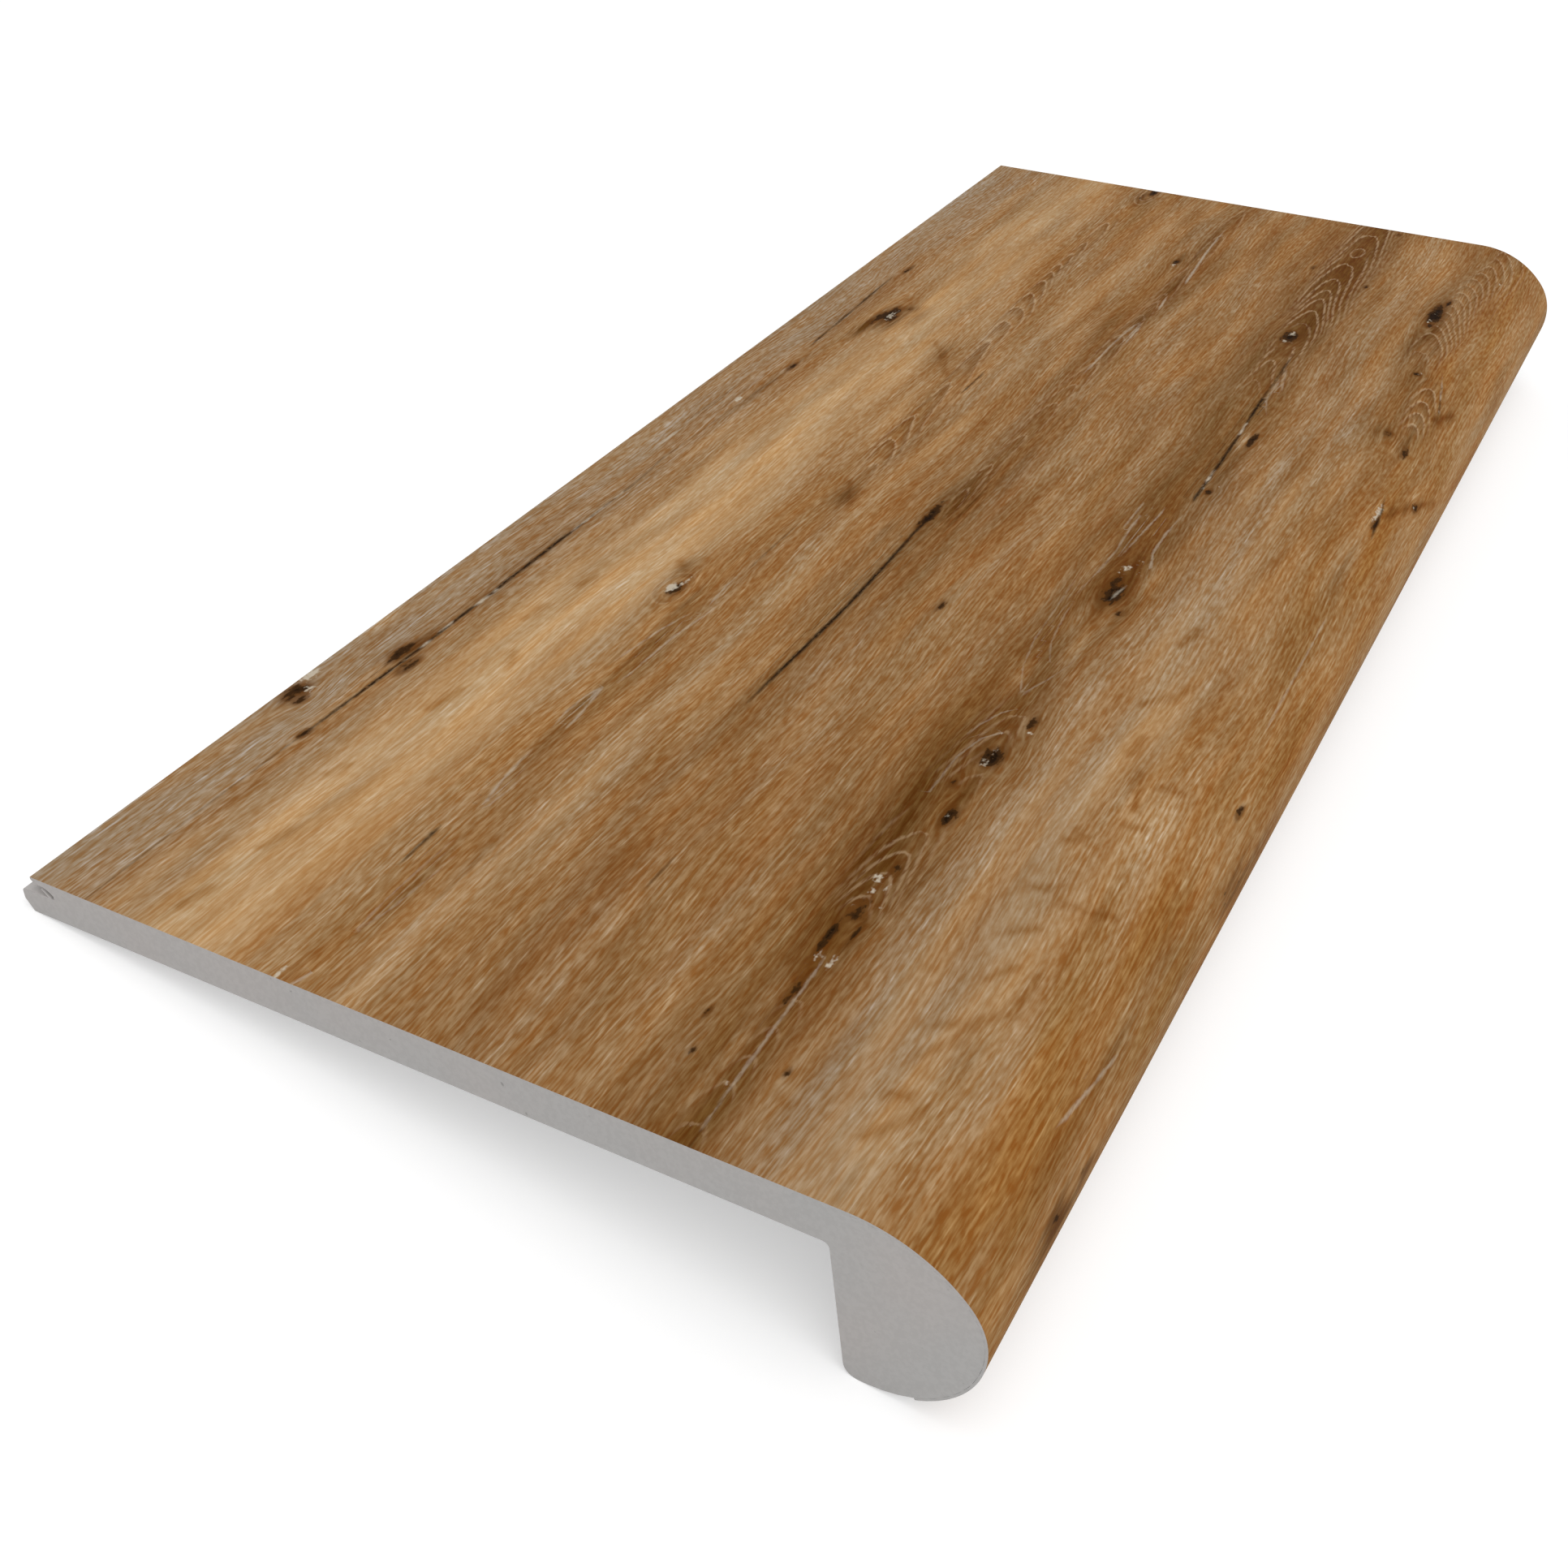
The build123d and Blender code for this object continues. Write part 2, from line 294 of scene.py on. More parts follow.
# Cathedral figure: its middle line as points, where its arches come to a point, how far back they run
# for each millimetre towards the back and towards the nose, half the figure's width, how far it
# starts before its first point, and how clearly it shows
FLAMES = (
    (((120, 37.5), (160, 35.5), (190, 33.6), (205, 32.6), (220, 31.9), (250, 31.4)),
     (150, 164, 183, 192, 199, 206, 213, 217.5, 222, 228, 235, 247),
     (7.0, 2.0), 3.2, 30, 0.8),
    (((120, 53.0), (200, 53.8), (269, 53.4)),
     (140, 152, 165, 173, 183, 196, 206, 213.5, 217, 232, 251, 266),
     (4.5, 4.5), 2.2, 20, 0.5),
    (((20, 81.8), (60, 81.2)),
     (40, 44.4, 48.7, 52.8),
     (0.7, 0.8), 3.8, 4, 0.55),
    (((0, 82.3), (30, 81.8)),
     (-3, 3, 9, 13, 17.5, 22),
     (0.9, 0.9), 1.4, 10, 0.4),
    (((55, 83.2), (80, 83.2)),
     (66, 71.5, 75.6, 79.5),
     (0.55, 6.0), 5.0, 4, 0.4),
    (((205, 79.4), (222, 79.2), (240, 78.7), (275, 78.8)),
     (215.6, 222, 228, 232.5, 238.5, 247, 256.5, 264, 275),
     (1.6, 0.85), 5.5, 35, 0.85),
    (((226, 99.6), (250, 100.8), (266, 103.2)),
     (222, 225.5, 229, 232.5, 236, 239.5, 243, 247, 251, 255, 259.5, 264, 268.5),
     (6.0, 0.45), 8.0, 16, 0.65),
    (((184, 105.6), (204, 105.4)),
     (187, 191.5, 195.8, 201),
     (1.1, 1.1), 2.2, 4, 0.9),
)

# Growth rings in view round knots: middle along and across, gap along and across, first and last
# ring, and how clearly they show
RINGS = (
    (208.6, 79.2, 2.2, 0.9, 1.2, 3.4, 0.7),
    (253.6, 78.9, 2.6, 0.9, 0.3, 2.6, 2.0),
    (267.0, 33.7, 2.4, 0.8, 1.0, 4.0, 0.8),
    (86.0, 29.9, 2.2, 0.9, 1.0, 3.0, 0.5),
)

# Soft brown shading round knots and cracks: along, across, half length, half width, depth
SHADES = (
    (53.0, 78.6, 16.0, 2.6, 0.75),
    (36.0, 81.6, 9.0, 2.4, 0.5),
    (72.0, 82.0, 10.0, 3.0, 0.4),
    (61.0, 83.1, 5.0, 1.0, 0.8),
    (183.5, 16.0, 4.5, 1.0, 0.8),
    (189.6, 17.0, 1.6, 1.0, 0.5),
    (72.0, 34.6, 9.0, 1.3, 0.5),
    (45.0, 34.9, 10.0, 0.9, 0.35),
    (57.0, 34.2, 4.0, 0.6, 0.5),
    (17.0, 37.2, 8.0, 0.8, 0.45),
    (84.0, 33.0, 5.0, 1.0, 0.4),
    (118.0, 82.0, 10.0, 2.8, 0.5),
    (148.0, 86.0, 5.0, 1.2, 0.4),
    (208.0, 85.5, 8.0, 1.4, 0.35),
    (157.0, 83.6, 16.0, 2.2, 0.5),
    (240.0, 79.0, 26.0, 4.6, 0.55),
    (212.0, 80.0, 8.0, 3.0, 0.4),
    (182.0, 13.2, 5.0, 1.1, 0.8),
    (177.0, 12.4, 5.0, 1.0, 0.8),
    (187.5, 15.0, 3.5, 1.6, 0.6),
    (186.5, 19.4, 5.0, 1.2, 0.3),
    (56.0, 8.0, 5.0, 2.0, 0.5),
    (42.5, 1.8, 3.4, 2.0, 0.5),
    (91.5, 28.6, 3.5, 1.6, 0.4),
    (120.3, 37.9, 2.8, 1.2, 0.55),
    (121.0, 38.4, 5.0, 2.2, 0.25),
    (127.0, 53.4, 8.0, 2.8, 0.8),
    (138.0, 56.0, 40.0, 3.0, 0.35),
    (100.0, 52.2, 26.0, 1.2, 0.4),
    (204.0, 54.0, 4.5, 1.0, 0.75),
    (188.0, 54.2, 6.0, 0.8, 0.5),
    (220.0, 54.3, 7.0, 1.2, 0.65),
    (242.0, 53.2, 16.0, 1.1, 0.45),
    (236.0, 50.6, 3.0, 0.7, 0.5),
    (175.0, 29.0, 6.0, 2.6, 0.4),
    (264.0, 33.3, 6.0, 2.4, 0.6),
    (229.0, 98.6, 9.0, 1.8, 0.7),
    (216.0, 98.2, 8.0, 1.4, 0.4),
    (212.0, 101.6, 10.0, 0.8, 0.4),
    (222.8, 99.6, 5.0, 1.2, 0.6),
    (188.0, 104.5, 15.0, 3.0, 0.35),
    (180.0, 102.0, 3.0, 2.2, 0.4),
    (203.0, 102.5, 5.0, 2.2, 0.3),
    (17.0, 118.5, 8.0, 2.6, 0.55),
    (78.0, 119.0, 9.0, 2.0, 0.35),
    (80.0, 8.7, 22.0, 1.0, 0.4),
    (182.0, 7.8, 16.0, 1.0, 0.35),
    (233.0, 50.8, 3.5, 1.2, 0.4),
    (30.0, 75.0, 42.0, 2.6, 0.18),
    (238.0, 75.5, 34.0, 2.6, 0.1),
    (46.0, 81.6, 4.0, 1.6, 0.6),
    (101.0, 63.4, 9.0, 0.8, 0.5),
    (53.0, 113.0, 6.0, 1.1, 0.45),
    (36.0, 113.2, 6.5, 0.9, 0.5),
    (137.0, 107.4, 10.0, 1.4, 0.3),
    (222.0, 33.0, 14.0, 1.6, 0.3),
    (114.0, 82.6, 4.5, 1.8, 0.35),
    (114.0, 48.0, 6.0, 1.4, 0.35),
    (68.0, 32.0, 5.0, 0.8, 0.35),
    (262.0, 58.0, 7.0, 1.6, 0.3),
    (59.5, 7.6, 4.0, 1.0, 0.5),
    (176.5, 81.3, 5.0, 0.9, 0.4),
    (43.5, 85.0, 5.0, 1.0, 0.35),
    (160.0, 109.4, 2.5, 0.7, 0.4),
    (164.5, 111.2, 2.5, 0.7, 0.4),
    (169.0, 113.0, 2.5, 0.7, 0.35),
    (193.5, 108.3, 2.5, 0.6, 0.35),
    (197.5, 109.8, 2.5, 0.6, 0.35),
    (182.0, 105.8, 5.0, 1.4, 0.4),
    (22.8, 100.0, 4.0, 1.2, 0.3),
    (2.7, 97.0, 4.0, 2.0, 0.25),
    (95.0, 53.3, 10.0, 1.0, 0.3),
    (180.3, 14.6, 2.5, 0.9, 0.5),
    (52.5, 118.0, 8.0, 2.0, 0.35),
    (23.5, 41.0, 8.0, 1.6, 0.3),
    (148.0, 9.6, 18.0, 0.7, 0.3),
    (146.0, 7.3, 10.0, 0.4, 0.3),
)

# Pale patches: along, across, half length, half width, share
GLOWS = (
    (68.0, 103.5, 8.0, 4.0, 0.5),
    (70.0, 110.5, 7.0, 2.4, 0.3),
    (180.0, 48.4, 12.0, 1.5, 0.4),
    (22.0, 22.0, 7.0, 2.0, 0.3),
    (98.0, 83.2, 6.0, 1.4, 0.4),
    (259.0, 87.5, 8.0, 1.6, 0.5),
    (118.5, 85.8, 5.0, 1.2, 0.4),
    (166.0, 84.0, 2.6, 0.6, 0.5),
    (177.5, 19.0, 4.0, 1.2, 0.4),
    (252.0, 95.5, 14.0, 4.0, 0.3),
    (240.0, 113.0, 24.0, 2.4, 0.3),
    (60.5, 0.5, 4.0, 1.0, 0.5),
    (88.0, 79.0, 6.0, 1.6, 0.35),
    (195.0, 25.5, 9.0, 2.0, 0.35),
    (58.0, 98.1, 5.0, 1.6, 0.35),
    (248.0, 89.0, 8.0, 1.6, 0.35),
    (104.0, 80.5, 6.0, 1.4, 0.35),
    (6.8, 79.8, 4.0, 1.2, 0.3),
    (21.0, 79.6, 4.0, 1.0, 0.3),
    (119.0, 77.5, 7.0, 1.2, 0.35),
    (106.0, 84.0, 4.0, 1.0, 0.3),
    (187.0, 67.0, 9.0, 1.5, 0.3),
    (214.0, 65.5, 8.0, 1.5, 0.3),
    (82.0, 105.5, 6.0, 2.0, 0.3),
    (13.5, 80.1, 4.0, 0.9, 0.4),
    (179.0, 18.8, 3.5, 1.2, 0.3),
    (152.0, 66.5, 9.0, 1.5, 0.3),
)

# Slow bands of tone over the width: middle, half width, strength at the near end and at the far end
# The pale band at 117.5 mm, over the nose's front, is partly the print's own paler tone and partly
# painted light: it lifts the shade that the overhead lamp leaves where the nose turns down.
PALE_BANDS = (
    (0.0, 5.0, 0.25, 0.25), (21.0, 8.0, 1.2, 0.65), (32.0, 6.0, 0.0, 0.13), (43.0, 3.5, 0.35, 0.35),
    (61.5, 4.0, 0.0, 0.18), (96.0, 7.5, 0.6, 0.08), (117.5, 6.0, 0.2, 0.4),
)
GREY_BANDS = ((0.0, 10.0, 0.95, 0.85), (57.0, 5.0, 0.15, 0.0), (92.0, 6.5, 0.5, 0.0))
DARK_BANDS = ((80.0, 5.6, 0.85, 0.8), (53.0, 5.0, 0.24, 0.36), (100.0, 5.0, 0.03, 0.33))
GOLD_BANDS = ((33.0, 5.0, 0.35, 0.35), (111.0, 8.0, 1.0, 0.7), (128.0, 14.0, 1.0, 0.8))

# Colours of the print and of the core, as they look in plain light
OAK = (147, 109, 68)
PALE_OAK = (192, 156, 112)
GREY_OAK = (156, 131, 102)
GOLD_OAK = (148, 104, 55)
DARK_OAK = (106, 69, 28)
SHADE_BROWN = (90, 55, 16)
KNOT_BROWN = (92, 54, 18)
KNOT_DARK = (54, 33, 13)
KNOT_BLACK = (30, 17, 6)
LIME_WHITE = (200, 172, 138)
FILLER_WHITE = (200, 188, 168)
CORE_GREY = (193, 188, 185)
CORE_COOL_GREY = (189, 187, 185)

# What a dark stroke, a limed stroke, a warm patch, a cool patch and a fleck do to the colour under them
DEEPEN = (0.84, 0.64, 0.40, 1.0)
LIGHTEN = (1.42, 1.72, 2.30, 1.0)
WARM = (1.03, 0.96, 0.85, 1.0)
COOL = (0.98, 1.02, 1.07, 1.0)
FLECK = (0.74, 0.59, 0.40, 1.0)

# Shine of the two surfaces, and how deep their relief is in millimetres
FILM_SHINE = 0.01
CORE_SHINE = 0.2
EMBOSS_DEPTH = 0.08
SAW_DEPTH = 0.02


def tint(rgb):
    """Linear colour of an sRGB one: ((c + 0.055) / 1.055) to the power 2.4, with c from 0 to 1."""
    shares = (np.asarray(rgb) / 255.0 + 0.055) / 1.055
    return (*(shares**2.4), 1.0)


# Film shape

def film_profile(run):
    """Across, up and facing angle of the film's face, at a distance run over it from the back edge.

    The tread goes straight. Each arc then turns the facing by run / radius, and moves the point by
    the radius times the change in the facing's sine and cosine.
    """
    across = BACK_EDGE - np.minimum(run, TREAD_RUN)
    up = np.full_like(run, TREAD_TOP)
    facing = np.zeros_like(run)
    passed, turned = TREAD_RUN, 0.0
    for radius, turn in NOSE_ARCS:
        into = np.clip((run - passed) / radius, 0.0, turn)
        across -= radius * (np.sin(turned + into) - np.sin(turned))
        up += radius * (np.cos(turned + into) - np.cos(turned))
        facing += into
        passed, turned = passed + radius * turn, turned + turn
    return across, up, facing


def lean_back(across, up):
    """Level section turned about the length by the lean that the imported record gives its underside."""
    return across * cos(LEAN) + up * sin(LEAN), up * cos(LEAN) - across * sin(LEAN)


def drift(x, s, size, along, across, seed):
    """Slow unevenness: the sum of eight seeded sine waves, about along by across mm long, over the root
    of half their number, times size."""
    draw = np.random.default_rng(seed)
    waves = 8
    by_x = draw.normal(0.0, 1.0 / along, waves)
    by_s = draw.normal(0.0, 1.0 / across, waves)
    start = draw.uniform(0.0, 1.0, waves)
    turns = x[..., None] * by_x + s[..., None] * by_s + start
    return size * (np.sin(2.0 * pi * turns).sum(axis=-1) / np.sqrt(waves / 2.0))


def grain_flow(x, s):
    """Grain line that a point lies on: its run, swayed slowly, and drawn towards each knot's middle
    by a bell round it, so that the lines open to go past the knot."""
    line = s + drift(x, s, *GRAIN_SWAY) + drift(x, s, *GRAIN_RIPPLE)
    for along, across, half_length, half_width, depth in KNOTS:
        off_along = (x - along) / (KNOT_PULL_LENGTH * half_length)
        off_across = (s - across) / (KNOT_PULL_WIDTH * half_width)
        line -= KNOT_PULL * depth * np.exp(-(off_along**2) - off_across**2) * (s - across)
    return line


def banded(x, line, bands):
    """Bell over each band's middle, with a strength that goes evenly from the near end to the far end."""
    share = x / LENGTH
    total = np.zeros_like(x)
    for middle, half_width, near, far in bands:
        total += (near + (far - near) * share) * np.exp(-(((line - middle) / half_width) ** 2))
    return total


def spot_peaks(x, s, spots):
    """Largest of the spots' bells: depth times two to the power of minus the squared oval distance."""
    deepest = np.zeros_like(x)
    for along, across, half_length, half_width, depth in spots:
        oval = ((x - along) / half_length) ** 2 + ((s - across) / half_width) ** 2
        deepest = np.maximum(deepest, depth * 2.0**-oval)
    return deepest


def fleck_marks(x, s):
    """Largest of the flecks' bells: two to the power of minus the squared distance from the fleck's
    line, counted in its width."""
    strongest = np.zeros_like(x)
    for from_x, from_s, to_x, to_s in FLECKS:
        run_x, run_s = to_x - from_x, to_s - from_s
        share = np.clip(((x - from_x) * run_x + (s - from_s) * run_s) / (run_x**2 + run_s**2), 0.0, 1.0)
        away = np.hypot(x - from_x - share * run_x, s - from_s - share * run_s)
        strongest = np.maximum(strongest, 2.0 ** -((away / FLECK_WIDTH) ** 2))
    return strongest


def soft_spots(x, s, spots):
    """What is covered when each spot's bell has let its share of the light through."""
    light = np.ones_like(x)
    for along, across, half_length, half_width, depth in spots:
        oval = ((x - along) / half_length) ** 2 + ((s - across) / half_width) ** 2
        light *= 1.0 - depth * np.exp(-oval)
    return 1.0 - light


def crack_lines(x, s):
    """Signed distance across to the nearest crack or limed line, its depth there and its share of filler.

    Each one's run, depth and filler go evenly from point to point along it. A limed line is all filler.
    """
    lines = [np.array(points, dtype=float).T for points in CRACKS]
    for points in LIMED_LINES:
        lines.append(np.vstack((np.array(points, dtype=float).T, np.ones(len(points)))))
    offset = np.full_like(x, CRACK_REACH)
    depth = np.zeros_like(x)
    filled = np.zeros_like(x)
    for along, across, deep, white in lines:
        here = s - np.interp(x, along, across)
        strength = np.interp(x, along, deep, left=0.0, right=0.0)
        nearer = (np.abs(here) < np.minimum(np.abs(offset), CRACK_REACH)) & (strength > 0.0)
        offset = np.where(nearer, here, offset)
        depth = np.where(nearer, strength, depth)
        filled = np.where(nearer, np.interp(x, along, white), filled)
    return offset, depth, filled


def flame_figure(x, s):
    """Level, gap and strength of the cathedral figure and of the growth rings.

    A point's arch is the one whose tip lies along + reach * off ** bend, with off the distance from
    the middle line, and the level counts arches evenly from tip to tip. A ring's level is the oval
    distance from its middle. The gap from one line to the next is one over the level's slope. Where
    two figures meet, both fade out.
    """
    sway = drift(x, s, *ARCH_SWAY)
    found = []
    for middle, tips, reach, half_width, tail, clear in FLAMES:
        along, across = np.array(middle, dtype=float).T
        beside = s - np.interp(x, along, across) - sway
        off = np.abs(beside)
        tip = x + np.where(beside < 0.0, *reach) * off**ARCH_BEND
        starts = np.clip((x - tips[0] + tail) / (1.0 + tail / 2), 0.0, 1.0)
        stops = np.clip((tips[-1] + ARCH_END - x) / ARCH_END, 0.0, 1.0)
        past = np.maximum(tip - tips[-1], 0.0) - np.maximum(tips[0] - tip, 0.0)
        counted = np.interp(tip, tips, np.arange(len(tips))) + past / ARCH_GAP
        found.append((counted, clear * np.exp(-((off / half_width) ** 4)) * (starts * stops)))
    for along, across, gap_along, gap_across, first, last, clear in RINGS:
        ring = np.hypot((x - along) / gap_along, (s - across - sway) / gap_across)
        starts = np.clip((ring - first) / RING_START, 0.0, 1.0)
        stops = np.clip((last - ring) / RING_STOP, 0.0, 1.0)
        found.append((ring, clear * (starts * stops)))
    level = np.zeros_like(x)
    gap = np.zeros_like(x)
    strength = np.zeros_like(x)
    second = np.zeros_like(x)
    for counted, here in found:
        slope = np.hypot(np.gradient(counted, x[:, 0], axis=0), np.gradient(counted, s[0], axis=1))
        nearer = here > strength
        second = np.where(nearer, strength, np.maximum(second, here))
        level = np.where(nearer, counted, level)
        gap = np.where(nearer, 1.0 / np.maximum(slope, LEAST_SLOPE), gap)
        strength = np.where(nearer, here, strength)
    strength = np.clip(strength - FIGURE_FADE * second, 0.0, 1.0)
    return level, gap, strength


def film_mesh():
    """Closed shell of the film: its face on a grid of length by run, pressed in a little at knots and
    cracks, and its bond side a film's thickness below, as strips from end to end."""
    along = np.linspace(0.0, LENGTH, STEPS_ALONG + 1)
    run = np.linspace(0.0, FILM_RUN, STEPS_ACROSS + 1)
    x, s = np.meshgrid(along, run, indexing="ij")
    line = grain_flow(x, s)
    knot = spot_peaks(x, s, KNOTS)
    offset, crack, filled = crack_lines(x, s)
    level, gap, arch = flame_figure(x, s)
    pressed = KNOT_PRESS * np.clip(knot, 0.0, 1.0)
    pressed += CRACK_PRESS * crack * np.exp(-((offset / CRACK_PRESS_WIDTH) ** 2))

    across, up, facing = film_profile(s)
    face_y, face_z = lean_back(across + pressed * np.sin(facing), up - pressed * np.cos(facing))
    edge_across, edge_up, edge_facing = film_profile(s[0])
    bond_across = edge_across + FILM_THICKNESS * np.sin(edge_facing)
    bond_up = edge_up - FILM_THICKNESS * np.cos(edge_facing)
    bond_y, bond_z = lean_back(bond_across, bond_up)
    low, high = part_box("decor_film")
    to_back = high.y / MM - face_y[0].max()
    to_floor = low.z / MM - face_z[0].min()

    face = np.stack((x - LENGTH / 2, face_y + to_back, face_z + to_floor), axis=-1).reshape(-1, 3)
    ends = [np.stack((np.full_like(bond_y, end), bond_y + to_back, bond_z + to_floor), axis=-1)
            for end in (-LENGTH / 2, LENGTH / 2)]
    points = np.concatenate((face, *ends)) * MM

    rows = STEPS_ACROSS + 1
    index = np.arange(len(face)).reshape(STEPS_ALONG + 1, rows)
    near = len(face) + np.arange(rows)
    far = near + rows
    corners = (index[:-1, :-1], index[:-1, 1:], index[1:, 1:], index[1:, :-1])
    show = np.stack(corners, axis=-1).reshape(-1, 4)
    bond = np.stack((near[:-1], far[:-1], far[1:], near[1:]), axis=-1)
    near_cut = np.stack((index[0, :-1], near[:-1], near[1:], index[0, 1:]), axis=-1)
    far_cut = np.stack((index[-1, :-1], index[-1, 1:], far[1:], far[:-1]), axis=-1)
    back_cut = [*index[:, 0].tolist(), int(far[0]), int(near[0])]
    under_cut = [*index[::-1, -1].tolist(), int(near[-1]), int(far[-1])]
    faces = [*np.concatenate((show, bond, near_cut, far_cut)).tolist(), back_cut, under_cut]

    mesh = bpy.data.meshes.new("decor_film_face")
    mesh.from_pydata(points, [], faces)
    cut = np.ones(len(faces), dtype=np.int32)
    cut[: len(show)] = 0
    mesh.polygons.foreach_set("material_index", cut)
    mesh.polygons.foreach_set("use_smooth", np.ones(len(faces), dtype=bool))
    mesh.set_sharp_from_angle(angle=SHARP_EDGE)

    fields = {
        "pale": banded(x, line, PALE_BANDS) + drift(x, s, *PALE_DRIFT),
        "grey": banded(x, line, GREY_BANDS) + drift(x, s, *GREY_DRIFT),
        "dark": banded(x, line, DARK_BANDS) + drift(x, s, *DARK_DRIFT),
        "gold": banded(x, line, GOLD_BANDS) + drift(x, s, *GOLD_DRIFT),
        "shade": soft_spots(x, s, SHADES),
        "glow": soft_spots(x, s, GLOWS),
        "fleck": fleck_marks(x, s),
        "knot": knot,
        "filler": spot_peaks(x, s, FILLER_SPOTS),
        "crack_offset": offset,
        "crack_depth": crack,
        "crack_filled": filled,
        "arch_level": level,
        "arch_gap": gap,
        "arch_strength": arch,
    }
    hidden = np.zeros(2 * rows)
    for name, values in fields.items():
        field = mesh.attributes.new(name, "FLOAT", "POINT")
        field.data.foreach_set("value", np.concatenate((values.ravel(), hidden)).astype(np.float32))
    grain = np.zeros((len(points), 3), dtype=np.float32)
    grain[: len(face), 0] = x.ravel()
    grain[: len(face), 1] = line.ravel()
    field = mesh.attributes.new("grain", "FLOAT_VECTOR", "POINT")
    field.data.foreach_set("vector", grain.ravel())
    return mesh


# Finishes

class Finish:
    """A material and short ways to add nodes to it. A number given for a socket is set on it, and a
    node's output is linked to it."""

    def __init__(self, name):
        self.material = bpy.data.materials.new(name)
        self.material.use_nodes = True
        self.tree = self.material.node_tree
        self.shader = self.tree.nodes["Principled BSDF"]

    def feed(self, socket, value):
        if isinstance(value, bpy.types.NodeSocket):
            self.tree.links.new(value, socket)
        else:
            socket.default_value = value

    def field(self, name, kind="Fac"):
        node = self.tree.nodes.new("ShaderNodeAttribute")
        node.attribute_name = name
        return node.outputs[kind]

    def maths(self, operation, *values):
        node = self.tree.nodes.new("ShaderNodeMath")
        node.operation = operation
        for socket, value in zip(node.inputs, values):
            self.feed(socket, value)
        return node.outputs[0]

    def between(self, value, low, high, least=0.0, most=1.0):
        """Value eased from least at low to most at high."""
        node = self.tree.nodes.new("ShaderNodeMapRange")
        node.interpolation_type = "SMOOTHSTEP"
        for socket, number in zip(node.inputs, (value, low, high, least, most)):
            self.feed(socket, number)
        return node.outputs[0]

    def blend(self, share, under, over, how="MIX"):
        node = self.tree.nodes.new("ShaderNodeMix")
        node.data_type = "RGBA"
        node.blend_type = how
        self.feed(node.inputs["Factor"], share)
        self.feed(node.inputs["A"], under)
        self.feed(node.inputs["B"], over)
        return node.outputs["Result"]

    def speckle(self, place, stretch, shift=(0.0, 0.0, 0.0), detail=2.0, rough=0.5):
        """Noise over a place multiplied by stretch and moved by shift."""
        spread = self.tree.nodes.new("ShaderNodeVectorMath")
        spread.operation = "MULTIPLY_ADD"
        for socket, value in zip(spread.inputs, (place, stretch, shift)):
            self.feed(socket, value)
        node = self.tree.nodes.new("ShaderNodeTexNoise")
        self.feed(node.inputs["Vector"], spread.outputs[0])
        node.inputs["Scale"].default_value = 1.0
        node.inputs["Detail"].default_value = detail
        node.inputs["Roughness"].default_value = rough
        return node.outputs[0]

    def relief(self, height, depth):
        """Bump from a height of 0 to 1, that deep in millimetres."""
        node = self.tree.nodes.new("ShaderNodeBump")
        node.inputs["Distance"].default_value = depth * MM
        self.feed(node.inputs["Height"], height)
        self.feed(self.shader.inputs["Normal"], node.outputs["Normal"])


